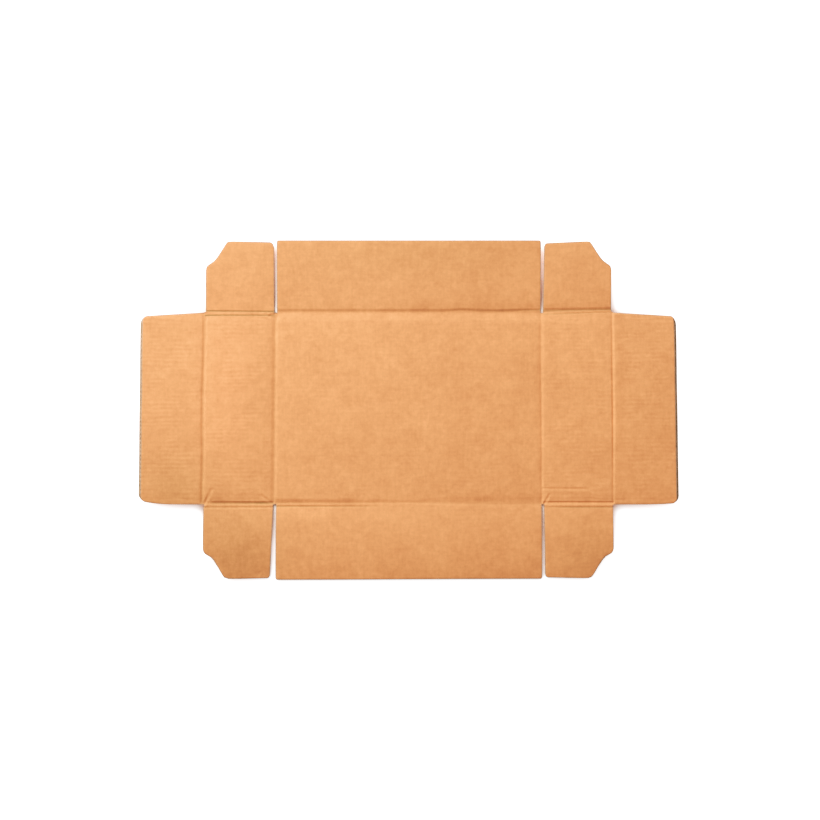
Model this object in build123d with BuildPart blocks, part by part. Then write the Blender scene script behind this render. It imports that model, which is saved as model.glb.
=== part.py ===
from build123d import *
from math import atan2, cos, degrees, radians, sin, tan
import os

# A folding tray of single-wall corrugated board, cut and creased and lying open with its inner face up.
# It is one sheet. The flutes run along X, the underside of the base is flat on z = 0, and the origin is
# under the middle of the sheet. Lengths are millimetres and slopes are degrees.

# Board
board = 1.6
liner = 0.22
medium = 0.2
flute_pitch = 3.39
flute_crest = 0.6

# Layout of the sheet, measured along the board from crease to crease or from crease to cut edge
base_length = 214.0
base_width = 154.4
back_wall = 58.3
front_wall = 60.0
end_wall = 57.0
tuck_flap = 51.2
back_corner_flap = 57.1
front_corner_flap = 58.9

# Cut edges: the slots beside the walls, the tuck flaps and the shaped corners of the corner flaps
slot_width = 2.4
left_inset = 1.0
right_inset = 0.5
wall_corner = 1.5
flap_inset = 0.8
back_flap_taper = 0.6
front_flap_taper = 2.6
flap_corner = 3.0
notch_run = 18.0
notch_drop = 20.5
knee_run = 7.5
knee_drop = 15.5
knee_round = 14.0
notch_round = 4.5
tuck_inset = 0.4
back_tuck_taper = 3.6
front_tuck_taper = 0.8
tuck_corner = 6.0
tip_lean = 45.0

# Creases: those across the flutes are one valley, those along them are two with a low ridge between
cross_width = 3.8
cross_depth = 0.7
cross_round = 1.2
along_width = 5.0
along_depth = 0.6
along_ridge = 0.25
crushed = 4.8
edge_margin = 4.6

# How the areas lie: the ends rise evenly, and each wall's slope goes from that at its crease to that at
# its free edge
end_rise = 4.5
back_rise = (6.0, 6.0)
front_rise = (5.0, -4.0)
left_back_rise = (1.5, 0.0)
left_front_rise = (6.0, -5.0)
right_back_rise = (9.0, 3.0)
right_front_rise = (5.0, -4.0)
wall_flats = 4

# What the cutting shapes reach past the board they cut
trim = 2.0
tip_spare = 0.5
headroom = 30.0

# Worked out from the above
core = board - 2 * liner
cell_height = core - medium
flank = atan2(cell_height, flute_pitch / 2 - flute_crest)
cell_width = flute_pitch / 2 + core / tan(flank) - medium / sin(flank)
half_length = base_length / 2
half_width = base_width / 2
end_reach = end_wall * cos(radians(end_rise))
end_height = end_wall * sin(radians(end_rise))
tuck_reach = tuck_flap * cos(radians(end_rise))
tip_height = end_height + tuck_flap * sin(radians(end_rise))
end_line = half_length + end_reach
tip_line = end_line + tuck_reach


def wall_slope(rise, length, s):
    """The slope of a wall s from its crease, which goes evenly from rise[0] to rise[1]."""
    return rise[0] + (rise[1] - rise[0]) * s / length


def on_wall(rise, length, s, n):
    """The point s along a wall that bends in equal flats between its slopes, and n above its underside."""
    flat = length / wall_flats
    y = z = 0
    for k in range(wall_flats):
        slope = radians(wall_slope(rise, length, (k + 0.5) * flat))
        run = max(s - k * flat, 0)
        if k < wall_flats - 1:
            run = min(run, flat)
        y += run * cos(slope)
        z += run * sin(slope)
    slope = radians(wall_slope(rise, length, s))
    return y - n * sin(slope), z + n * cos(slope)


def reach(rise, length):
    """How far a wall's free edge stands from its crease, seen from above."""
    return on_wall(rise, length, length, 0)[0]


def cut_cells(places, turn):
    """Open cells between the fluted paper and a liner, cut from the section in hand at each place."""
    with Locations(*places):
        Trapezoid(
            cell_width,
            cell_height,
            degrees(flank),
            rotation=turn,
            align=(Align.CENTER, Align.MIN),
            mode=Mode.SUBTRACT,
        )


def wall_section(rise, length):
    """A wall from its crease at the origin, open flutes included, with its free edge towards +X of the sketch."""
    joints = [k * length / wall_flats for k in range(wall_flats)] + [length + trim]
    under = [on_wall(rise, length, s, 0) for s in joints]
    over = [on_wall(rise, length, s, board) for s in joints]
    first_cell = crushed + cell_width / 2
    cells = int((length - edge_margin - crushed - cell_width) / (flute_pitch / 2))

    def cell_place(i, n):
        s = first_cell + i * flute_pitch / 2
        return Location((*on_wall(rise, length, s, n), 0), (0, 0, wall_slope(rise, length, s)))

    with BuildSketch() as section:
        with BuildLine():
            Polyline(*under, *reversed(over), close=True)
        make_face()
        cut_cells([cell_place(i, liner) for i in range(0, cells + 1, 2)], 0)
        cut_cells([cell_place(i, board - liner) for i in range(1, cells + 1, 2)], 180)
    return section.sketch


def crease_section(rise, length):
    """What a crease along the flutes presses out of the board: two valleys side by side, open above."""
    half = along_width / 2
    base_edge, base_valley = (-half, board), (-half / 2, board - along_depth)
    ridge = (0, board - along_ridge)
    wall_valley = on_wall(rise, length, half / 2, board - along_depth)
    wall_edge = on_wall(rise, length, half, board)
    with BuildSketch() as section:
        with BuildLine():
            Polyline(base_edge, base_valley, ridge, wall_valley, wall_edge)
            Polyline(wall_edge, (half, 2 * board), (-half, 2 * board), base_edge)
        make_face()
    return section.sketch


def flat_section(width):
    """Board lying flat between two edges along the flutes, with whole flutes only."""
    flutes = int((width - 2 * crushed - cell_width) / flute_pitch)
    first_cell = -flutes * flute_pitch / 2
    with BuildSketch() as section:
        Rectangle(width, board, align=(Align.CENTER, Align.MIN))
        cut_cells([(first_cell + i * flute_pitch, liner) for i in range(flutes + 1)], 0)
        cut_cells([(first_cell + (i + 0.5) * flute_pitch, board - liner) for i in range(flutes)], 180)
    return section.sketch


def sheet_section(back, front):
    """Flat board with a wall at its back and front, each given as its slopes and its length."""
    at_crease = Location((half_width, 0))
    with BuildSketch() as section:
        add(flat_section(base_width))
        add(wall_section(*back).moved(at_crease))
        add(wall_section(*front).moved(at_crease).mirror(Plane.YZ))
        add(crease_section(*back).moved(at_crease), mode=Mode.SUBTRACT)
        add(crease_section(*front).moved(at_crease).mirror(Plane.YZ), mode=Mode.SUBTRACT)
    return section.sketch


def wall_outline():
    """The base with its back and front walls, seen from above."""
    back_edge = half_width + reach(back_rise, back_wall)
    front_edge = half_width + reach(front_rise, front_wall)
    with BuildSketch() as outline:
        with Locations(((left_inset - right_inset) / 2, back_edge)):
            Rectangle(
                base_length - left_inset - right_inset,
                back_edge + front_edge,
                align=(Align.CENTER, Align.MAX),
            )
        fillet(outline.vertices(), wall_corner)
    return outline.sketch


def corner_outline(side, edge, inset, taper, free):
    """A corner flap seen from above, from its crease out to its free edge, with its outer corner cut away in an S."""
    slot_edge = half_length - inset + slot_width
    outer = end_line - flap_inset
    points = [
        (slot_edge, half_width - trim),
        (slot_edge + taper, half_width + free),
        (outer - notch_run, half_width + free),
        (outer - knee_run, half_width + free - knee_drop),
        (outer, half_width + free - notch_drop),
        (outer, half_width - trim),
    ]
    placed = [(side * x, edge * y) for x, y in points]
    with BuildSketch() as outline:
        with BuildLine():
            FilletPolyline(*placed, radius=[flap_corner, flap_corner, knee_round, notch_round])
            Line(placed[-1], placed[0])
        make_face()
    return outline.sketch


def tuck_outline(side):
    """A tuck flap seen from above, narrower towards its rounded tip, and more so at its back edge."""
    root = half_width - tuck_inset
    points = [
        (end_line - trim, root),
        (end_line, root),
        (tip_line + tip_spare, root - back_tuck_taper),
        (tip_line + tip_spare, front_tuck_taper - root),
        (end_line, -root),
        (end_line - trim, -root),
    ]
    placed = [(side * x, y) for x, y in points]
    with BuildSketch() as outline:
        with BuildLine():
            FilletPolyline(*placed, radius=[0, tuck_corner, tuck_corner, 0])
            Line(placed[-1], placed[0])
        make_face()
    return outline.sketch


def across(x, z):
    """The plane across the flutes at x, whose sketch has +Y of the sheet to its right and +Z up."""
    return Plane(origin=(x, 0, z), x_dir=(0, 1, 0), z_dir=(1, 0, 0))


def cross_line(side, x, z, inner_rise):
    """The three points of a crease across the flutes: its inner edge, its valley and its outer edge."""
    half = cross_width / 2
    inner = (x - half * cos(radians(inner_rise)), z + board - half * sin(radians(inner_rise)))
    outer = (x + half * cos(radians(end_rise)), z + board + half * sin(radians(end_rise)))
    return [(side * px, pz) for px, pz in (inner, (x, z + board - cross_depth), outer)]


def crease_face(crease, way_back):
    """The face between a crease's rounded valley and the points that lead back from its outer edge."""
    with BuildSketch() as face:
        with BuildLine():
            FilletPolyline(*crease, radius=cross_round)
            Polyline(crease[-1], *way_back, crease[0])
        make_face()
    return face.sketch


# Each end: its side, the slots' inset there, and the slopes and length of its back and front corner flaps
ends = (
    (-1, left_inset, (left_back_rise, back_corner_flap), (left_front_rise, front_corner_flap)),
    (1, right_inset, (right_back_rise, back_corner_flap), (right_front_rise, front_corner_flap)),
)

# The outline that the die cuts
with BuildSketch(Plane.XY.offset(-trim)) as die_cut:
    Rectangle(2 * end_line, base_width)
    add(wall_outline())
    for side, inset, back, front in ends:
        add(corner_outline(side, 1, inset, back_flap_taper, reach(*back)))
        add(corner_outline(side, -1, inset, front_flap_taper, reach(*front)))
        add(tuck_outline(side))

# Strips of fluted board from crease to crease: the base with its walls, then each end with its corner
# flaps and its tuck flap, whose tip is sheared back towards its upper face
strips = []
with BuildPart() as base_strip:
    with BuildSketch(across(-half_length, 0)):
        add(sheet_section((back_rise, back_wall), (front_rise, front_wall)))
    extrude(amount=base_length)
strips.append(base_strip.part)
for side, _, back, front in ends:
    outward = (side * cos(radians(end_rise)), 0, sin(radians(end_rise)))
    tip_facing = (side * cos(radians(end_rise + tip_lean)), 0, sin(radians(end_rise + tip_lean)))
    with BuildPart() as end_strip:
        with BuildSketch(across(side * half_length, 0)):
            add(sheet_section(back, front))
        extrude(amount=end_wall, dir=outward)
    strips.append(end_strip.part)
    with BuildPart() as tuck_strip:
        with BuildSketch(across(side * end_line, end_height)):
            add(flat_section(base_width))
        extrude(amount=tuck_flap + trim, dir=outward)
        split(
            bisect_by=Plane(origin=(side * tip_line, 0, tip_height), z_dir=tip_facing),
            keep=Keep.BOTTOM,
        )
    strips.append(tuck_strip.part)

# The sheet: the strips as one board, cut to its outline, with a valley pressed across the flutes at each
# end of the base and of the end walls
with BuildPart() as box_blank:
    add(strips)
    extrude(die_cut.sketch, amount=headroom, mode=Mode.INTERSECT)
    creases = [
        cross_line(side, x, z, inner_rise)
        for side in (-1, 1)
        for x, z, inner_rise in ((half_length, 0, 0), (end_line, end_height, end_rise))
    ]
    with BuildSketch(Plane.XZ):
        for crease in creases:
            (inner, _), _, (outer, top) = crease
            add(crease_face(crease, [(outer, top + board), (inner, top + board)]))
    extrude(amount=half_width, both=True, mode=Mode.SUBTRACT)
    with BuildSketch(Plane.XZ):
        for crease in creases:
            add(crease_face(crease, [(x, z - liner) for x, z in reversed(crease)]))
    extrude(amount=half_width - along_width / 2, both=True)

# Centre the sheet on the origin from front to back
centring = (reach(front_rise, front_wall) - reach(back_rise, back_wall)) / 2
sheet = box_blank.part.moved(Location((0, centring, 0)))

sheet.label = "box_blank"
os.makedirs("parts", exist_ok=True)
export_step(sheet, "parts/box_blank.step")
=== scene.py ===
import bpy
import numpy as np
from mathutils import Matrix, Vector


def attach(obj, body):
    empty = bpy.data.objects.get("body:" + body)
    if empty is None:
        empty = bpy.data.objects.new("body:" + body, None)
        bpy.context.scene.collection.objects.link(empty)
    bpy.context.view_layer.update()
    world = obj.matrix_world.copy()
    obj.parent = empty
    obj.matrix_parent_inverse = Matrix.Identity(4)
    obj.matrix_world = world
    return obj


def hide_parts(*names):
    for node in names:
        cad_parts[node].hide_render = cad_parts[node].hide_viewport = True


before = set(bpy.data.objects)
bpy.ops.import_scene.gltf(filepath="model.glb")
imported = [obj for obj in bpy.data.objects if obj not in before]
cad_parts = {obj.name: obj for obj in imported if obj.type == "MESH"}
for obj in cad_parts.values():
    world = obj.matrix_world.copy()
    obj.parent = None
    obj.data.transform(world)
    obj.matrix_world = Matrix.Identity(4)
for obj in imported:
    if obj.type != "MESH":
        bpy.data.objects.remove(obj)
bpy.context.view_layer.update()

scene = bpy.context.scene
mm = 0.001
print("frame loaded:", ", ".join(sorted(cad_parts)))

# The blank as it is cut and creased: flat sizes in millimetres, slopes in degrees. Where a size has two
# sides, 1 is the back or the right and -1 the front or the left
blank = {
    "board": 1.6,
    "liner": 0.22,
    "fluting": 0.2,
    "flutePitch": 3.39,
    "halfLength": 107.0,
    "halfWidth": 77.2,
    "endWall": 57.0,
    "tuckFlap": 51.2,
    "endRise": 4.5,
    "slots": ((-108.2, -106.2), (106.5, 108.2)),
    # tuck flap: its back edge steps in and runs in evenly, its front edge sweeps in before the corner
    "tuckInset": 0.4,
    "tuckInsetEnd": 0.01,  # share of the flap's length that the step takes
    "backTuckTaper": 3.6,
    "frontTuckDip": {-1: 2.6, 1: 1.0},
    "frontDipRate": 2.1,  # how soon the sweep starts and how fast it grows
    "tuckCorner": 6.0,
    # its sheared tip: how far it leans back, how far in that starts, waves along it and how much is missing
    "tipLean": {-1: 53.0, 1: 52.0},
    "tipBand": 4.0,
    "tipWave": 0.05,
    "tipWaveRadian": 9.0,
    "tipLoss": {-1: 0, 1: 0.35},
    "tipSlant": {-1: 0, 1: 0.3},
    # corner flap: its outer edge, in from the tuck crease, and its notch
    "flapInset": 0.8,
    "notchRun": {1: 17.4, -1: 17.8},
    "notchDrop": {1: 21.0, -1: 21.4},
    "kneeRun": {1: 8.0, -1: 8.3},
    "kneeDrop": {1: 15.6, -1: 16.9},
    "kneeSoftness": 1.4,
    "shoulderSoftness": {1: 1.3, -1: 2.6},
    "notchCorner": 5.2,
    "outerEdgeStart": 3.0,  # how far out a corner flap's outer edge reaches its own line
}
pitch, halfLength, halfWidth = blank["flutePitch"], blank["halfLength"], blank["halfWidth"]
endLine = halfLength + blank["endWall"]
tipLine = endLine + blank["tuckFlap"]
flapOuter = endLine - blank["flapInset"]
slotSides = [side for slot in blank["slots"] for side in slot]

# What folds off the middle band: edge (+1 back, -1 front), flat span along X, slopes at crease and free edge,
# length, skew (how much shorter a wall's right end or a flap's slot end is) and a corner flap's taper at its
# slot side and its outer side
middleSpan, leftSpan, rightSpan = slotSides[1:3], (-flapOuter, slotSides[0]), (slotSides[3], flapOuter)
walls = [
    {"edge": 1, "span": middleSpan, "rise": (6, 5), "length": 58.22, "skew": 0, "corner": 1.5},
    {"edge": -1, "span": middleSpan, "rise": (5, -4), "length": 59.92, "skew": 0.8, "corner": 1.5},
    {"edge": 1, "span": leftSpan, "rise": (3, 2.7), "length": 57.3, "skew": 0.4, "corner": 4.0,
     "taper": (0.4, 0)},
    {"edge": -1, "span": leftSpan, "rise": (5.5, -5), "length": 59.7, "skew": 1.1, "corner": 2.2,
     "taper": (2.5, -0.6)},
    {"edge": 1, "span": rightSpan, "rise": (8, 4), "length": 57.6, "skew": 1.8, "corner": 2.5,
     "taper": (0.9, 0.4)},
    {"edge": -1, "span": rightSpan, "rise": (4.5, -4), "length": 59.1, "skew": 1.1, "corner": 2.2,
     "taper": (0.7, 0)},
]


def smooth(x, low, high):
    # 0 below low, 1 above high and a smooth step between: 3 x squared less 2 x cubed
    x = np.clip((x - low) / (high - low), 0, 1)
    return x * x * (3 - 2 * x)


def hump(x):
    # A rounded hump, 1 at 0 and 0 from -1 and 1 on: the squared cosine of a quarter turn times x
    return np.cos(np.pi / 2 * np.clip(x, -1, 1)) ** 2


def roundOver(a, b, k):
    # The larger of two heights, lifted by half of k where they meet: a hyperbola between its asymptotes
    return (a + b + np.sqrt((a - b) ** 2 + k * k)) / 2


def cornerDrop(distance, radius):
    # How far a quarter circle has dropped at this distance in from the side edge
    inside = np.clip(radius - distance, 0, radius)
    return radius - np.sqrt(radius * radius - inside * inside)


def bySide(s, values):
    # The left value where s is below 0, and the right value elsewhere
    return np.where(s < 0, values[-1], values[1])


def arcReach(wall, d):
    # Plan reach and height at d along a wall whose slope changes evenly: the chord of a circular arc
    a, b = np.radians(wall["rise"])
    turn = (b - a) * d / wall["length"]
    chord = d * np.sinc(turn / 2 / np.pi)
    return chord * np.cos(a + turn / 2), chord * np.sin(a + turn / 2)


# Centred in the outline, with the front edge's top reaching out by the board's lean there
frontLean = 0.05
backReach, frontReach = (arcReach(wall, wall["length"])[0] for wall in walls[:2])
centring = frontLean + (frontReach - backReach) / 2


def notchLine(wall, fromOuter):
    # A corner flap's free edge: two straight lines with a soft knee, rounded over into the full length
    length, edge = wall["length"], wall["edge"]
    run, kneeRun = blank["notchRun"][edge], blank["kneeRun"][edge]
    drop, kneeDrop = blank["notchDrop"][edge], blank["kneeDrop"][edge]
    lower = length - drop + fromOuter * (drop - kneeDrop) / kneeRun
    upper = length - kneeDrop + (fromOuter - kneeRun) * kneeDrop / (run - kneeRun)
    kneed = roundOver(lower, upper, blank["kneeSoftness"])
    return -roundOver(-kneed, -length, blank["shoulderSoftness"][edge])


def freeEdge(wall, s):
    # How long a wall is at each flat place along X: straight with rounded corners, or with the S notch
    length, (low, high) = wall["length"], wall["span"]
    if "taper" not in wall:
        shorter = wall["skew"] * smooth(s, low, high)
        return length - shorter - cornerDrop(np.minimum(s - low, high - s), wall["corner"])
    fromOuter = flapOuter - np.abs(s)
    r = blank["notchCorner"]
    lowEnd = blank["notchDrop"][wall["edge"]] - blank["kneeDrop"][wall["edge"]]
    rest = r * (1 - np.sin(np.arctan2(lowEnd, blank["kneeRun"][wall["edge"]])))
    edge = notchLine(wall, np.maximum(fromOuter, rest))
    edge -= cornerDrop(np.minimum(fromOuter, rest), r) - cornerDrop(rest, r)
    edge -= wall["skew"] * np.clip(fromOuter / (high - low), 0, 1)
    return edge - cornerDrop(np.abs(s) - min(abs(low), abs(high)), wall["corner"])


# The grid that papers are laid out on: spacings in millimetres and the bands that they hold in
spacing = {
    "crease": 0.3,
    "creaseBand": 5.0,
    "freeEdge": 0.6,
    "freeBand": 2.0,
    "cornerTurn": 7.5,  # degrees round a tuck flap's corner
    "tuckBand": 22.0,  # how far in from a tuck flap's edges its rows close up
    "wallStart": 30.0,  # how far out a wall's rows start to follow its free edge
    "touch": 1e-6,
    "away": 50,  # the gap where no cut is near
    # by side: places along X and the spacing up to each, with a line on every slot side and flap's outer edge
    "columns": {
        -1: [(102.5, 2.8), (-slotSides[1], 0.45), (-slotSides[0], 0.5), (117.5, 0.8), (145.5, 2.8),
             (160.8, 1.3), (flapOuter, 0.6), (168.5, 0.45), (tipLine - blank["tuckCorner"], 2.8)],
        1: [(102.5, 2.8), (slotSides[2], 0.5), (slotSides[3], 0.45), (114, 0.8), (121, 2), (127, 1.2),
            (145.5, 2.8), (160.8, 1.3), (flapOuter, 0.6), (168.5, 0.45),
            (tipLine - blank["tuckCorner"], 2.8)],
    },
}


def stretch(low, high, step, multiple):
    # Even spacing from low, which is left out, to high, in a multiple of so many steps
    n = multiple * max(1, round((high - low) / step / multiple))
    return np.linspace(low, high, n + 1)[1:]


def flatColumns(look):
    # The grid's places along X: each run evenly spaced, and the tip's corner in equal angles
    coarser, multiple = look["coarser"], look["hiddenStep"]
    sides = []
    for runs in spacing["columns"].values():
        starts = [0] + [end for end, _ in runs[:-1]]
        parts = [stretch(low, high, step * coarser, multiple) for low, (high, step) in zip(starts, runs)]
        angles = np.radians(90 - stretch(0, 90, spacing["cornerTurn"] * coarser, multiple))
        sides.append(np.concatenate(parts + [tipLine - blank["tuckCorner"] * (1 - np.cos(angles))]))
    return np.concatenate([-sides[0][::-1], [0], sides[1]])


def bandRows(look):
    # Places across the middle band: in step with the flutes, and close together at its two creases
    step, multiple = pitch / look["perFlute"], look["hiddenStep"]
    count = multiple * int((halfWidth - spacing["creaseBand"]) / step / multiple)
    inner = np.arange(-count, count + 1) * step
    outer = stretch(inner[-1], halfWidth, spacing["crease"] * look["coarser"], multiple)
    return np.concatenate([-outer[::-1], inner, outer])


def wallRows(length, look):
    # Places along a wall from its crease: close together there, and in step with the flutes after that
    step, multiple = pitch / look["perFlute"], look["hiddenStep"]
    first = np.ceil((halfWidth + spacing["creaseBand"]) / step) * step - halfWidth
    count = multiple * int((length - spacing["freeBand"] - first) / step / multiple)
    inner = first + np.arange(1, count + 1) * step
    near = stretch(0, first, spacing["crease"] * look["coarser"], multiple)
    return np.concatenate([[0], near, inner, stretch(inner[-1], length, spacing["freeEdge"], multiple)])


def bandPlaces(columns, rows):
    # Places and gaps on the middle band. Its rows close up in proportion towards the tuck flaps' shaped edges
    t, s = np.meshgrid(rows, columns, indexing="ij")
    out = np.clip((np.abs(s) - endLine) / blank["tuckFlap"], 0, 1)
    back = blank["tuckInset"] * smooth(out, 0, blank["tuckInsetEnd"]) + blank["backTuckTaper"] * out
    front = bySide(s, blank["frontTuckDip"]) * np.clip(out * blank["frontDipRate"] - 1, 0, 1) ** 2
    narrow = cornerDrop(tipLine - np.abs(s), blank["tuckCorner"]) + np.where(t > 0, back, front)
    t = t - np.sign(t) * np.clip((np.abs(t) - halfWidth) / spacing["tuckBand"] + 1, 0, 1) * narrow
    toCut = np.minimum(halfWidth - narrow - np.abs(t), tipLine - np.abs(s))
    gap = np.where(np.abs(s) > flapOuter, toCut, spacing["away"])
    for low, high in blank["slots"]:
        beside = np.clip(np.maximum(low - s, s - high), 0, spacing["away"])
        gap = np.minimum(gap, np.hypot(beside, halfWidth - np.abs(t)))
    return s, t, gap


def wallPlaces(wall, columns, along):
    # Places along X, distances from the crease and gaps on a wall, whose rows close up towards its free edge
    (low, high), length, edge = wall["span"], wall["length"], freeEdge(wall, columns)
    far = np.clip((along - spacing["wallStart"]) / (length - spacing["wallStart"]), 0, 1)
    d = along[:, None] - far[:, None] * (length - edge)
    s = np.tile(columns, (len(along), 1))
    side = np.minimum(s - low, high - s)
    if "taper" in wall:
        slotSide, outerSide = wall["taper"]
        lean = (flapOuter - np.abs(s)) / abs(high - low)
        outwards = outerSide * (1 - lean) * smooth(d, 0, blank["outerEdgeStart"])
        s = s + np.sign(s) * (slotSide * lean * d / length - outwards)
    toEdge = (edge - d) / np.hypot(1, np.gradient(edge, columns))
    return s, d, np.minimum(side, toEdge)


def layOut(look):
    # The flat sheet as grids of point numbers that share their border lines, with each point's place s along
    # X and t along Y, its wall (-1 on the middle band) and its gap to the nearest cut
    columns = flatColumns(look)
    s, t, gap = bandPlaces(columns, bandRows(look))
    grids = [np.arange(t.size).reshape(t.shape)]
    points = [np.stack([s.ravel(), t.ravel(), np.full(t.size, -1), gap.ravel()])]
    for w, wall in enumerate(walls):
        low, high = wall["span"]
        at = np.flatnonzero((columns > low - spacing["touch"]) & (columns < high + spacing["touch"]))
        s, d, gap = wallPlaces(wall, columns[at], wallRows(wall["length"], look))
        numbers = np.arange(d.size).reshape(d.shape) + sum(p.shape[1] for p in points) - len(at)
        numbers[0] = grids[0][-1 if wall["edge"] > 0 else 0, at]
        grids.append(numbers[:: wall["edge"]])
        own = [s, wall["edge"] * (halfWidth + d), np.full(d.shape, w), gap]
        points.append(np.stack([values[1:].ravel() for values in own]))
    s, t, wall, gap = np.concatenate(points, 1)
    return {"grids": grids, "s": s, "t": t, "wall": wall, "gap": np.clip(gap, 0, spacing["away"])}


# Creases along the flutes, by edge. At places along X: the offset outwards from the fold, depth, tone (how
# much painted shade darkens the crease) and reach towards the base and the free edge. Broad ones bend the
# board
alongCreases = {
    1: [
        {"at": (-215, -164, -108, -90, 90, 108, 164, 215), "off": -0.5,
         "depth": (0.15, 0.36, 0.35, 0.08, 0.06, 0.3, 0.22, 0.1), "reach": (10, 26)},
        {"at": (-164, -150, -121, -108), "off": 0.85, "depth": 0.12, "tone": (0.7, 0.65, 0.55, 0.65),
         "reach": (1.1, 1.2)},
        {"at": (-164, -150, -121, -108), "off": (-2.85, -2.6, -2.4, -2.4), "depth": 0.12,
         "tone": (0.75, 0.65, 0.55, 0.45), "reach": (1.2, 1.2)},
        {"at": (-106.5, -40, 0, 32, 38, 48, 58, 72, 90, 107),
         "off": (0.6, 0.6, 0.6, 0.6, 1.3, 1.3, 0.6, 0.35, 0.9, 0.9),
         "depth": (0.28, 0.32, 0.34, 0.36, 0.37, 0.37, 0.38, 0.39, 0.4, 0.4),
         "reach": ((8, 8, 9, 10, 10, 10, 10, 10, 10, 10), 3.0)},
        {"at": (-106.5, -40, 0, 32, 38, 48, 58, 72, 90, 107),
         "off": (1.8, 1.8, 1.8, 1.8, 2.5, 2.5, 1.8, 1.55, 2.1, 2.1), "depth": 0,
         "tone": (0.16, 0.16, 0.16, 0.18, 0.2, 0.22, 0.24, 0.26, 0.28, 0.28), "reach": (1.7, 2.2)},
        {"at": (-106.5, -60, -20, 10, 40, 70, 107, 125, 164), "off": 1.2,
         "depth": (0.14, 0.14, 0.2, 0.24, 0.26, 0.34, 0.36, 0.24, 0.2), "reach": (10, 8)},
        {"at": (108.2, 125, 141, 155, 164), "off": (1.6, 1.85, 2.0, 2.05, 1.85), "depth": 0.3,
         "tone": 0.36, "reach": (1.7, 2.4)},
        {"at": (108.2, 125, 141, 155, 164), "off": (-1.4, -1.4, -0.8, -0.5, -0.5), "depth": 0.1,
         "tone": (0.22, 0.2, 0.16, 0.12, 0.1), "reach": (1.1, 1.3)},
    ],
    -1: [
        {"at": (-215, -164, -109, -60, 0, 107, 164, 215), "off": 0,
         "depth": (0.36, 0.3, 0.16, 0.06, 0.12, 0.24, 0.32, 0.2), "reach": (11, 26)},
        {"at": (-164, -159, -156, -125, -117, -108), "off": (-1.4, -1.4, -1.35, -1.2, -1.2, -1.2),
         "depth": (0.05, 0.1, 0.36, 0.4, 0.42, 0.34), "tone": (0, 0, 0.2, 0.35, 0.55, 0.3),
         "reach": (1.9, 2.1)},
        {"at": (-164, -150, -125, -117, -108), "off": 2.5, "depth": 0.2,
         "tone": (0.08, 0.06, 0.05, 0.05, 0.05), "reach": (1.6, 1.5)},
        {"at": (-106.5, -85, -60, -25, 0, 40, 75, 107),
         "off": (-1.5, -1.5, -1.6, -1.6, -1.65, -1.9, -2.4, -2.4),
         "depth": (0.28, 0.26, 0.2, 0.18, 0.17, 0.22, 0.24, 0.24),
         "tone": (0.08, 0.06, 0.05, 0.05, 0.05, 0.05, 0.05, 0.05),
         "reach": ((3.6, 3.6, 3.0, 2.8, 2.6, 5, 6, 6), (1.7, 1.7, 1.7, 1.7, 1.6, 3.2, 5.5, 6))},
        {"at": (-106.5, -85, -60, -38, -25, -15), "off": 1.6, "depth": (0.22, 0.22, 0.2, 0.12, 0.04, 0),
         "tone": (0.32, 0.3, 0.26, 0.18, 0.08, 0), "reach": (1.2, 1.6)},
        {"at": (-106.5, -75, -45, -15), "off": 0.8, "depth": (0.34, 0.38, 0.28, 0.06), "reach": (6, 12)},
        {"at": (108.2, 125, 164), "off": -1.65, "depth": 0.34, "reach": (1.4, 1.9)},
        {"at": (108.2, 125, 164), "off": 0.8, "depth": -0.14, "reach": (2.1, 1.2)},
        {"at": (108.2, 118, 124, 160, 164), "off": 2.25, "depth": (0.05, 0.07, 0.13, 0.13, 0.13),
         "tone": (0.08, 0.12, 0.32, 0.28, 0.16), "reach": (1.1, 1.4)},
    ],
}
# Creases across the flutes, by fold. At places along Y: the offset to the right, depth, tone (painted shade in
# the crease) and reach to the left and right, most with a sharp pressed line in a broad bend
acrossCreases = {
    -endLine: [
        {"at": (-77, -63, -38, -13, 10, 38, 60, 77),
         "off": (-0.65, -0.65, -0.25, -0.75, -0.7, -0.1, 0.1, 0.2), "depth": 0.52, "tone": 0.1,
         "reach": (2.5, 2.3)},
        {"at": (-77, -50, -20, 40, 77), "off": 0, "depth": (0.16, 0.2, 0.36, 0.32, 0.32), "reach": (8, 10)},
    ],
    -halfLength: [
        {"at": (-77, -60, -35, 0, 35, 77), "off": (-1.05, -0.95, -0.85, -0.85, -0.75, -0.5), "depth": 0.36,
         "tone": 0.08, "reach": (2.8, 2.4)},
        {"at": (-77, 77), "off": 2.2, "depth": -0.16, "reach": (2.6, 8)},
        {"at": (-77, -40, 0, 77), "off": 0, "depth": (0.12, 0.2, 0.28, 0.3), "reach": (7, 8)},
    ],
    halfLength: [
        {"at": (-77, -60, -35, 0, 30, 60, 77), "off": (-0.6, -0.55, -0.3, -0.3, -0.7, -0.7, -0.7),
         "depth": (0.2, 0.2, 0.2, 0.24, 0.16, 0.12, 0.12), "reach": (1.6, 1.8)},
        {"at": (-77, -40, 0, 40, 77), "off": (1.8, 1.8, 1.9, 2.3, 2.4),
         "depth": (-0.2, -0.2, -0.2, -0.36, -0.4), "reach": (2.6, 12)},
        {"at": (-77, -40, 0, 40, 77), "off": 0, "depth": (0.06, 0.1, 0.2, 0.12, 0.1), "reach": (5, 7)},
    ],
    endLine: [
        {"at": (-77, -60, -35, 0, 30, 60, 77), "off": (-0.9, -0.8, -0.5, -0.4, -0.5, -0.7, -0.7),
         "depth": (0.26, 0.3, 0.42, 0.5, 0.4, 0.24, 0.2), "reach": (1.2, 1.7)},
        {"at": (-77, -40, 0, 40, 77), "off": (1.3, 1.5, 2.0, 1.8, 1.6),
         "depth": (-0.12, -0.18, -0.36, -0.42, -0.42), "reach": (2.1, 9)},
    ],
}
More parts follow.
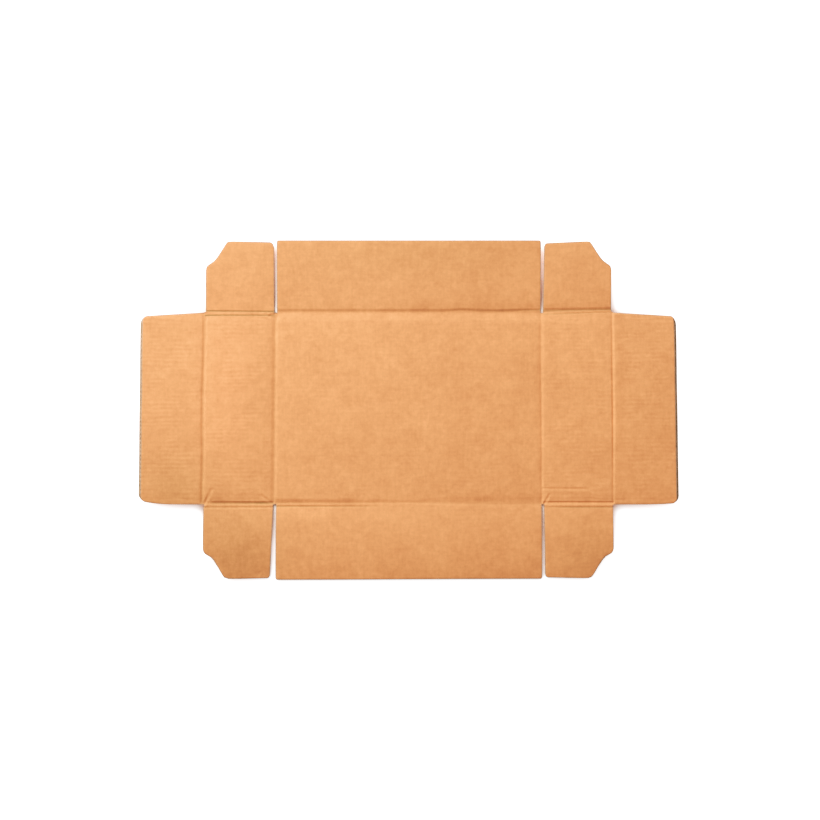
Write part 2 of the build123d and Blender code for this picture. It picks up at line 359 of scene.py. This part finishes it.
# Where creases end: half the length of a pressed line's fade, the last place along Y that creases across the
# flutes are read at, and how far inside the middle band's edge they start and end their fade
creaseEnds = {"fade": 0.4, "lastRead": 76, "bandEdge": (-0.5, 2)}

# Handling marks: the two ends of a line on the flat sheet, its depth (minus is raised) and its width
marks = [
    (-162.8, -76.6, -157.2, -65.2, 0.34, 1.0),
    (-159.0, -75.9, -157.6, -73.6, 0.14, 0.7),
    (-117.6, -70.1, -110.6, -75.4, 0.24, 0.9),
    (107.6, -64.4, 142.5, -64.8, 0.26, 0.8),
    (109.0, -75.8, 112.6, -69.8, 0.26, 0.9),
    (112.9, -71.0, 114.2, -74.2, -0.1, 0.8),
    (92.0, -79.6, 84.0, -86.8, 0.18, 1.4),
    (-118.6, -131.2, -120.6, -134.8, 0.16, 0.9),
    (122.4, -26.2, 124.6, -26.0, 0.14, 1.7),
    (124.5, 11.6, 125.4, 12.0, 0.08, 1.5),
    (-115.0, 75.8, -109.6, 72.8, 0.16, 0.8),
    (-113.0, 73.4, -111.0, 75.6, 0.14, 0.7),
]
markRim = {"share": 0.35, "off": 2}  # height as a share of the depth, and how many widths off the line

# How the paper shows what is under it, the board's slow unevenness, and painted shade and light in spots where
# the board's slopes would shade or light it
relief = {
    "sunk": 0.14,  # how far the inner face lies under the full board
    "washboard": {"tuck": 0.025, "end": 0.022, "base": 0.01, "wall": 0.005},
    "outside": 0.03,  # the same bands on the underside
    "pressedFlat": (0.1, 0.5),  # dips between which the bands vanish
    "fading": {"seed": 8, "waves": 18, "span": (9, 40), "amount": 0.6, "bounds": (0.1, 2.2)},
    "wander": {"seed": 5, "waves": 18, "span": (8, 40), "amount": 0.7},
    "swell": {"seed": 11, "waves": 26, "span": (9, 70), "amount": 0.045, "bounds": (-0.1, 0.1)},
    "rim": 0.14,  # how far the inner face drops at a cut
    "rimWidth": 0.7,
    "most": 0.25,  # how far raised paper stands over the full board
    "clear": 0.02,  # what is left between the papers where they are pressed together
    "usual": 0.14,  # tone of untouched paper
    # where on the sheet, radii along X and Y, and tone: plus for painted shade, minus for painted light
    "paintedShading": [
        (-148, 24, 22, 62, -0.13),
        (-172, -95, 40, 42, 0.1),
        (-132, -122, 36, 38, 0.19),
        (146, -124, 34, 36, 0.14),
        (30, -142, 70, 20, 0.08),
        (0, 126, 110, 24, 0.12),
        (192, -20, 30, 60, 0.03),
        (-190, -64, 30, 26, 0.17),
    ],
}


def unevenness(s, t, look):
    # A sum of sine waves of random length and direction, each as high as the root of its length and together
    # of unit spread, times the amount
    random = np.random.RandomState(look["seed"])
    lengths = np.exp(random.uniform(*np.log(look["span"]), look["waves"]))
    headings, phases = random.uniform(0, 2 * np.pi, (2, look["waves"]))
    total = np.zeros(len(s))
    for length, heading, phase in zip(lengths, headings, phases):
        across = s * np.cos(heading) + t * np.sin(heading)
        total += np.sqrt(length) * np.sin(2 * np.pi * across / length + phase)
    return look["amount"] * total / np.sqrt(lengths.sum() / 2)


def press(along, across, line):
    # One pressed line's dip and tone: depth and tone times a hump with its own reach on each side, fading out
    # at both ends
    def follow(values):
        return np.interp(along, line["at"], np.broadcast_to(values, len(line["at"])))

    x = across - follow(line["off"])
    valley = hump(x / np.where(x < 0, *map(follow, line["reach"])))
    low, high, fade = line["at"][0], line["at"][-1], creaseEnds["fade"]
    valley *= smooth(along, low - fade, low + fade) * smooth(-along, -high - fade, fade - high)
    return follow(line["depth"]) * valley, follow(line.get("tone", 0)) * valley


def creaseDip(s, t):
    # What all the creases do to the inner liner: the sum of their dips, and of their tones the sum across the
    # flutes or the largest one along them
    inBand = smooth(halfWidth - np.abs(t), *creaseEnds["bandEdge"])
    readAt = np.clip(t, -creaseEnds["lastRead"], creaseEnds["lastRead"])
    dip, tone = np.zeros(len(s)), np.zeros(len(s))
    for fold, lines in acrossCreases.items():
        for line in lines:
            dips, tones = press(readAt, s - fold, line)
            dip, tone = dip + inBand * dips, tone + inBand * tones
    for edge, lines in alongCreases.items():
        for line in lines:
            dips, tones = press(s, edge * t - halfWidth, line)
            dip, tone = dip + dips, np.maximum(tone, tones)
    return dip, tone


def markDip(s, t, spread):
    # How deep the handling marks are: a bell across each line and past its ends, less a low bell beside it. A
    # spread over 1 makes them that many times as wide and leaves nothing raised
    dip = np.zeros(len(s))
    for s1, t1, s2, t2, depth, width in marks:
        run = np.hypot(s2 - s1, t2 - t1)
        along = ((s - s1) * (s2 - s1) + (t - t1) * (t2 - t1)) / run
        off = ((s - s1) * (t2 - t1) - (t - t1) * (s2 - s1)) / run
        q = np.hypot(off, np.maximum(np.maximum(-along, along - run), 0)) / width / spread
        dip += depth * (np.exp(-q * q) - markRim["share"] * np.exp(-((q - markRim["off"]) ** 2)))
    return dip if spread == 1 else np.maximum(dip, 0)


def paperHeights(sheet, spread=1):
    # Heights of the inner liner's upper face and the outer liner's underside over the board's flat underside,
    # and how far the upper face is darkened. The upper face is board less sunk, plus the flutes' bands and the
    # swell, less the dips of creases and marks and the drop at cut edges
    s, t, gap = sheet["s"], sheet["t"], sheet["gap"]
    dip, tone = creaseDip(s, t)
    dip += markDip(s, t, spread)
    places = [sheet["wall"] >= 0, np.abs(s) > endLine, np.abs(s) > halfLength]
    bands = relief["washboard"]
    amount = np.select(places, [bands[key] for key in ("wall", "tuck", "end")], bands["base"])
    fading = np.clip(1 + unevenness(s, t, relief["fading"]), *relief["fading"]["bounds"])
    amount *= (1 - smooth(dip, *relief["pressedFlat"])) * fading
    wave = np.cos(2 * np.pi * t / pitch + unevenness(s, t, relief["wander"]))
    rim = relief["rim"] * np.exp(-((gap / relief["rimWidth"]) ** 2))
    swell = np.clip(unevenness(s, t, relief["swell"]), *relief["swell"]["bounds"])
    upper = blank["board"] - relief["sunk"] + amount * wave - dip - rim + swell
    under = relief["outside"] * (1 + np.cos(2 * np.pi * t / pitch)) / 2
    tone = tone + relief["usual"]
    # Painted shade and light in spots, where the board's slopes would shade or light it
    for s1, t1, alongX, alongY, shading in relief["paintedShading"]:
        tone += shading * np.exp(-(((s - s1) / alongX) ** 2) - ((t - t1) / alongY) ** 2)
    least = under + 2 * blank["liner"] + blank["fluting"] + relief["clear"]
    return np.clip(upper, least, blank["board"] + relief["most"]), under, np.clip(tone, 0, 1)


def lowestNear(sheet, height, lines):
    # At each point the least height up to that many grid lines away, first along rows, then across them. The
    # outermost lines only look along themselves, so a cut edge keeps its height
    lowest = height.copy()
    for grid in sheet["grids"]:
        near = height[grid]
        for _ in range(lines):
            near[:, 1:-1] = np.minimum(np.minimum(near[:, :-2], near[:, 2:]), near[:, 1:-1])
        for _ in range(lines):
            near[1:-1] = np.minimum(np.minimum(near[:-2], near[2:]), near[1:-1])
        lowest[grid] = np.minimum(lowest[grid], near)
    return lowest


def place(sheet, height):
    # From flat place and height to the lying sheet: ends rise evenly, walls follow their arcs, tips lean back
    s, t = sheet["s"], sheet["t"]
    tip = smooth(np.abs(s), tipLine - blank["tipBand"], tipLine)
    missing = blank["tipWave"] * (1 + np.sin(t / blank["tipWaveRadian"]))
    missing += bySide(s, blank["tipLoss"]) + bySide(s, blank["tipSlant"]) * t / halfWidth
    lean = np.tan(np.radians(bySide(s, blank["tipLean"])))
    s = s - np.sign(s) * tip * (height * lean + missing)
    beyond = np.maximum(np.abs(s) - halfLength, 0)
    rise = np.radians(blank["endRise"])
    x = np.clip(s, -halfLength, halfLength) + np.sign(s) * beyond * np.cos(rise)
    y, z, slope = t.copy(), beyond * np.sin(rise), np.zeros(len(s))
    for w, wall in enumerate(walls):
        own = sheet["wall"] == w
        d = np.abs(t[own]) - halfWidth
        reach, lift = arcReach(wall, d)
        y[own] = wall["edge"] * (halfWidth + reach)
        z[own] += lift
        slope[own] = wall["edge"] * np.radians(wall["rise"][0] + np.diff(wall["rise"]) * d / wall["length"])
    return mm * np.stack([x, y + centring - height * np.sin(slope), z + height * np.cos(slope)], 1)


def quads(grid):
    # A grid's four-sided faces, turned to face up
    return np.stack([grid[:-1, :-1], grid[:-1, 1:], grid[1:, 1:], grid[1:, :-1]], -1).reshape(-1, 4)


def borderEdges(faces):
    # The directed edges that only one face has
    edges = np.concatenate([faces[:, [i, (i + 1) % 4]] for i in range(4)])
    size = faces.max() + 1
    return edges[~np.isin(edges[:, 0] * size + edges[:, 1], edges[:, 1] * size + edges[:, 0])]


def closedFaces(sheet, step):
    # Faces of a closed sheet, with hidden points numbered after the others: the outer face on every grid line,
    # the hidden face on every step-th one, and between their borders a strip of faces, each with as many
    # border points as it spans. Also says which points the hidden face uses
    whole = np.concatenate([quads(grid) for grid in sheet["grids"]])
    sparse = np.concatenate([quads(grid[::step, ::step]) for grid in sheet["grids"]])
    total = len(sheet["s"])
    border, coarse = borderEdges(whole), borderEdges(sparse)
    following = np.zeros(total, int)
    following[border[:, 0]] = border[:, 1]
    chain = [coarse[:, 0]]
    for _ in range(step):
        chain.append(following[chain[-1]])
    strip = np.stack([chain[0], chain[0] + total, chain[-1] + total] + chain[:0:-1], 1)
    used = np.unique(sparse)
    renumber = np.arange(2 * total)
    renumber[used + total] = total + np.arange(len(used))
    return [whole, renumber[sparse[:, ::-1] + total], renumber[strip]], used


sharpAngle = 50  # degrees between faces past which an edge shows


def paperSheet(name, look, sheet, outer, inner, tone):
    # A closed sheet of paper: outer face, hidden face and cut edges, smooth where faces meet at less than the
    # sharp angle
    parts, used = closedFaces(sheet, look["hiddenStep"])
    if not look["facesUp"]:
        parts = [part[:, ::-1] for part in parts]
    mesh = bpy.data.meshes.new(name)
    faces = [face for part in parts for face in part.tolist()]
    mesh.from_pydata(np.concatenate([outer, inner[used]]).tolist(), [], faces)
    flat = np.stack([sheet["s"], sheet["t"], sheet["gap"]], 1) * mm
    spot = mesh.attributes.new("flatPlace", "FLOAT_VECTOR", "POINT")
    spot.data.foreach_set("vector", np.concatenate([flat, flat[used]]).astype(np.float32).ravel())
    shade = mesh.attributes.new("tone", "FLOAT", "POINT")
    shade.data.foreach_set("value", np.concatenate([tone, tone[used]]).astype(np.float32))
    slots = np.repeat([0, 1, 1], [len(part) for part in parts])
    mesh.polygons.foreach_set("material_index", slots.astype(np.int32))
    mesh.shade_smooth()
    mesh.set_sharp_from_angle(angle=np.radians(sharpAngle))
    made = bpy.data.objects.new(name, mesh)
    scene.collection.objects.link(made)
    print(name, "points", len(outer) + len(used), "triangles", sum(len(p) * (p.shape[1] - 2) for p in parts))
    return made


# Each paper's grid has so many points a flute, is so much coarser elsewhere than the spacings say, and gives
# one of so many lines to the hidden face. As a wide grid would cut across narrow creases and marks, the inner
# liner's hidden face and the fluting keep under the lowest height near
innerLook = {"perFlute": 4, "coarser": 1, "hiddenStep": 4, "facesUp": True, "colour": (0.905, 0.324, 0.152)}
sheet = layOut(innerLook)
upper, under, tone = paperHeights(sheet)
hidden = lowestNear(sheet, upper, innerLook["hiddenStep"]) - blank["liner"]
innerLiner = paperSheet("innerLiner", innerLook, sheet, place(sheet, upper), place(sheet, hidden), tone)

outerLook = {"perFlute": 4, "coarser": 2.2, "hiddenStep": 2, "facesUp": False, "colour": (0.8, 0.305, 0.145),
             "tone": 0.4}  # its tone as a share of the inner liner's
sheet = layOut(outerLook)
upper, under, tone = paperHeights(sheet)
hidden = under + blank["liner"]
tone = outerLook["tone"] * tone
outerLiner = paperSheet("outerLiner", outerLook, sheet, place(sheet, under), place(sheet, hidden), tone)

# The fluted paper swings between the liners, one wave a pitch, with wider marks and a little clearance
# The fluting's colour: its own darker paper, made darker still as painted shade in the open flutes at the cut
# ends
flutingLook = {"perFlute": 8, "coarser": 3, "hiddenStep": 1, "facesUp": True, "colour": (0.4, 0.25, 0.16),
               "markSpread": 3.5, "linesNear": 1, "clearance": 0.04}
sheet = layOut(flutingLook)
upper, under, tone = paperHeights(sheet, flutingLook["markSpread"])
half = blank["fluting"] / 2
low = under + blank["liner"] + half
lowest = lowestNear(sheet, upper, flutingLook["linesNear"])
high = np.maximum(lowest - blank["liner"] - half - flutingLook["clearance"], low)
middle = (low + high + (high - low) * np.cos(2 * np.pi * sheet["t"] / pitch)) / 2
above, below = place(sheet, middle + half), place(sheet, middle - half)
fluting = paperSheet("fluting", flutingLook, sheet, above, below, 0 * tone)


def feed(tree, source, socket):
    # Another node's output as a link, or a plain value, into a socket
    if isinstance(source, bpy.types.NodeSocket):
        tree.links.new(source, socket)
    else:
        socket.default_value = source


def mathNode(tree, operation, first, second):
    # One operation on two numbers
    node = tree.nodes.new("ShaderNodeMath")
    node.operation = operation
    feed(tree, first, node.inputs[0])
    feed(tree, second, node.inputs[1])
    return node.outputs[0]


def mapRange(tree, source, *values):
    # A straight line from one range to another, level past its ends: from low, from high, to low, to high
    node = tree.nodes.new("ShaderNodeMapRange")
    feed(tree, source, node.inputs["Value"])
    for socket, value in zip(("From Min", "From Max", "To Min", "To Max"), values):
        feed(tree, value, node.inputs[socket])
    return node.outputs["Result"]


def mixColour(tree, share, first, second):
    # The first colour plus a share of the way to the second
    node = tree.nodes.new("ShaderNodeMix")
    node.data_type = "RGBA"
    for source, socket in zip((share, first, second), (0, 6, 7)):
        feed(tree, source, node.inputs[socket])
    return node.outputs[2]


def noiseNode(tree, spot, scale, detail, roughness):
    # Noise around a half, in as many cells a metre as the scale
    node = tree.nodes.new("ShaderNodeTexNoise")
    for source, socket in zip((spot, scale, detail, roughness), ("Vector", "Scale", "Detail", "Roughness")):
        feed(tree, source, node.inputs[socket])
    return node.outputs["Fac"]


def readAttribute(tree, name):
    # The node that reads a mesh attribute
    node = tree.nodes.new("ShaderNodeAttribute")
    node.attribute_name = name
    return node


# Brown kraft paper, the same for all papers but for its colour
kraft = {
    # the colour that the tone attribute mixes towards: painted shade in the creases and the shading spots, and
    # a little of it everywhere as the paper's own tone
    "pressed": (0.21, 0.15, 0.062, 1),
    # edge: painted shade along every cut, where the cut faces and the gap under them lie in shadow
    "edge": (0.38, 0.25, 0.165, 1),
    # hidden: painted shade for the liners' hidden faces and the cut strips, where the open flutes lie in
    # shadow
    "hidden": (0.34, 0.22, 0.145),
    "edgeShadeWidth": 1.0,
    "specular": 0.18,
    "roughness": (0.78, 0.92),
    "grain": {"scale": 1400, "detail": 3, "roughness": 0.5, "strength": 0.5, "height": 0.05},
    # mottling and fibres: scale, stretch along X and Y, and strength
    "noise": [
        (28, (1, 1), 0.06),
        (65, (1, 1), 0.045),
        (150, (1, 1), 0.075),
        (350, (1, 1), 0.075),
        (700, (0.12, 1), 0.03),
        (700, (1, 0.12), 0.04),
        (1500, (1, 1), 0.045),
    ],
    "noiseDetail": 3,
    "noiseRoughness": 0.6,
    "noiseSpan": (0.25, 0.75),  # the noise values that give the least and the most
    "noiseShift": (1.37, 0.71, 0.013),  # from one layer to the next, so that none repeats another
}


def mottling(tree, spot):
    # The product of the noise layers, each from 1 less its strength to 1 plus its strength
    total = 1
    for n, (scale, (alongX, alongY), amount) in enumerate(kraft["noise"], 1):
        turn = tree.nodes.new("ShaderNodeMapping")
        turn.inputs["Location"].default_value = [n * shift for shift in kraft["noiseShift"]]
        turn.inputs["Scale"].default_value = (alongX, alongY, 0)
        feed(tree, spot, turn.inputs["Vector"])
        noise = noiseNode(tree, turn.outputs["Vector"], scale, kraft["noiseDetail"], kraft["noiseRoughness"])
        layer = mapRange(tree, noise, *kraft["noiseSpan"], 1 - amount, 1 + amount)
        total = mathNode(tree, "MULTIPLY", total, layer)
    return total


def paperMaterial(name, colour):
    # Colour times the mottling, mixed towards the painted shade colour by the tone attribute and towards the
    # painted edge shade colour by 1 less the gap to the nearest cut over its width, the gap being the third of
    # flatPlace. A fine grain bends the normal and varies the roughness
    made = bpy.data.materials.new(name)
    made.use_nodes = True
    tree = made.node_tree
    shader = tree.nodes["Principled BSDF"]
    spot = readAttribute(tree, "flatPlace").outputs["Vector"]
    flat = tree.nodes.new("ShaderNodeSeparateXYZ")
    feed(tree, spot, flat.inputs[0])
    # Painted shade along the cuts, strongest right at the cut
    edgeShadeShare = mapRange(tree, flat.outputs["Z"], 0, kraft["edgeShadeWidth"] * mm, 1, 0)
    pressed = readAttribute(tree, "tone").outputs["Fac"]
    base = mixColour(tree, edgeShadeShare, mixColour(tree, pressed, (*colour, 1), kraft["pressed"]), kraft["edge"])
    scaled = tree.nodes.new("ShaderNodeVectorMath")
    scaled.operation = "SCALE"
    feed(tree, base, scaled.inputs[0])
    feed(tree, mottling(tree, spot), scaled.inputs["Scale"])
    grain = kraft["grain"]
    fibres = noiseNode(tree, spot, grain["scale"], grain["detail"], grain["roughness"])
    raised = tree.nodes.new("ShaderNodeBump")
    feed(tree, grain["strength"], raised.inputs["Strength"])
    feed(tree, grain["height"] * mm, raised.inputs["Distance"])
    feed(tree, fibres, raised.inputs["Height"])
    feed(tree, kraft["specular"], shader.inputs["Specular IOR Level"])
    feed(tree, scaled.outputs["Vector"], shader.inputs["Base Color"])
    feed(tree, raised.outputs["Normal"], shader.inputs["Normal"])
    feed(tree, mapRange(tree, fibres, 0, 1, *kraft["roughness"]), shader.inputs["Roughness"])
    return made


# The hidden faces and cut strips get a darker paper as painted shade
shadedHiddenSide = paperMaterial("kraftHiddenShaded", kraft["hidden"])
papers = [
    (innerLiner, paperMaterial("kraftInner", innerLook["colour"])),
    (outerLiner, paperMaterial("kraftOuter", outerLook["colour"])),
    (fluting, paperMaterial("flutingPaper", flutingLook["colour"])),
]
for piece, paint in papers:
    piece.data.materials.append(paint)
    piece.data.materials.append(shadedHiddenSide)
    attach(piece, "root")
    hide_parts("box_blank")
print("papers painted")

# Pale floor just under the sheet. The open share within reach dims its glow where the sheet's edges close it
# in, by a power that falls between two distances from the middle along Y
stage = {
    "half": 15000.0,
    "drop": 0.3,
    "pale": (0.9, 0.9, 0.9, 1),
    "closed": (0.9, 0.69, 0.58, 1),
    "glow": 2.4,
    "most": 1.9,
    "reach": 11.0,
    "powerAt": (79.0, 108.0),
    "power": (3.5, 1.8),
    "roughness": 0.95,
    "specular": 0.05,
}


def floorMaterial(name):
    # Glow times the open share to its power lights the floor, up to most, so that only short shadows show. By
    # the same, its colour runs from closed, warm with light off the board, to pale
    made = bpy.data.materials.new(name)
    made.use_nodes = True
    tree = made.node_tree
    shader = tree.nodes["Principled BSDF"]
    openness = tree.nodes.new("ShaderNodeAmbientOcclusion")
    feed(tree, stage["reach"] * mm, openness.inputs["Distance"])
    where, apart = tree.nodes.new("ShaderNodeTexCoord"), tree.nodes.new("ShaderNodeSeparateXYZ")
    feed(tree, where.outputs["Object"], apart.inputs[0])
    offMiddle = mathNode(tree, "ABSOLUTE", apart.outputs["Y"], 0)
    near, far = stage["powerAt"]
    power = mapRange(tree, offMiddle, near * mm, far * mm, *stage["power"])
    openShare = mathNode(tree, "POWER", openness.outputs["AO"], power)
    glow = mathNode(tree, "MULTIPLY", openShare, stage["glow"])
    colour = mixColour(tree, glow, stage["closed"], stage["pale"])
    feed(tree, mathNode(tree, "MINIMUM", glow, stage["most"]), shader.inputs["Emission Strength"])
    feed(tree, colour, shader.inputs["Base Color"])
    feed(tree, colour, shader.inputs["Emission Color"])
    feed(tree, stage["roughness"], shader.inputs["Roughness"])
    feed(tree, stage["specular"], shader.inputs["Specular IOR Level"])
    return made


turns = ((-1, -1), (1, -1), (1, 1), (-1, 1))
corners = [(x * stage["half"] * mm, y * stage["half"] * mm, -stage["drop"] * mm) for x, y in turns]
mesh = bpy.data.meshes.new("floor")
mesh.from_pydata(corners, [], [(0, 1, 2, 3)])
mesh.materials.append(floorMaterial("paleFloor"))
floor = bpy.data.objects.new("floor", mesh)
scene.collection.objects.link(floor)

# Light: a broad round lamp behind the sheet and to the left, in metres, with an even white sky
light = {"at": (-0.6, 0.88, 0.64), "aim": (0, 0, 0), "size": 1.12, "power": 37.1, "sky": 0.25}
lamp = bpy.data.lights.new("key", "AREA")
lamp.shape = "DISK"
lamp.size = light["size"]
lamp.energy = light["power"]
key = bpy.data.objects.new("key", lamp)
key.location = light["at"]
key.rotation_euler = (Vector(light["at"]) - Vector(light["aim"])).to_track_quat("Z", "Y").to_euler()
scene.collection.objects.link(key)
world = bpy.data.worlds.new("sky")
world.use_nodes = True
sky = world.node_tree.nodes["Background"]
sky.inputs["Color"].default_value = (1, 1, 1, 1)
sky.inputs["Strength"].default_value = light["sky"]
scene.world = world

# Camera: over the sheet and a little towards its front edge, fitted to the photograph's creases and corners.
# Its focal length and frame are in the photograph's pixels
view = {"at": (1.08, -63.8, 1100.0), "tilt": 3.298, "focal": 1370.4, "frame": 820, "clip": (0.05, 50)}
lens = bpy.data.cameras.new("camera")
lens.sensor_width = 36
lens.lens = view["focal"] * lens.sensor_width / view["frame"]
lens.clip_start, lens.clip_end = view["clip"]
camera = bpy.data.objects.new("camera", lens)
camera.location = [v * mm for v in view["at"]]
camera.rotation_euler = (np.radians(view["tilt"]), 0, 0)
scene.collection.objects.link(camera)
scene.camera = camera

# Film response: a soft shoulder for the brights and a slight toe, as points of scene light and shown light
film = {
    "points": [(0.05, 0.021), (0.1, 0.061), (0.19, 0.162), (0.4, 0.402), (0.7, 0.64), (1.06, 0.831),
               (1.35, 0.95), (1.7, 1.02)],
    "most": (2.0, 1.2),
}
scene.view_settings.view_transform = "Standard"
scene.view_settings.use_curve_mapping = True
mapping = scene.view_settings.curve_mapping
mapping.clip_max_x, mapping.clip_max_y = film["most"]
tones = mapping.curves[3].points
tones[-1].location = film["points"][-1]
for point in film["points"][:-1]:
    tones.new(*point)
mapping.update()
print("stage, light, camera and film set")
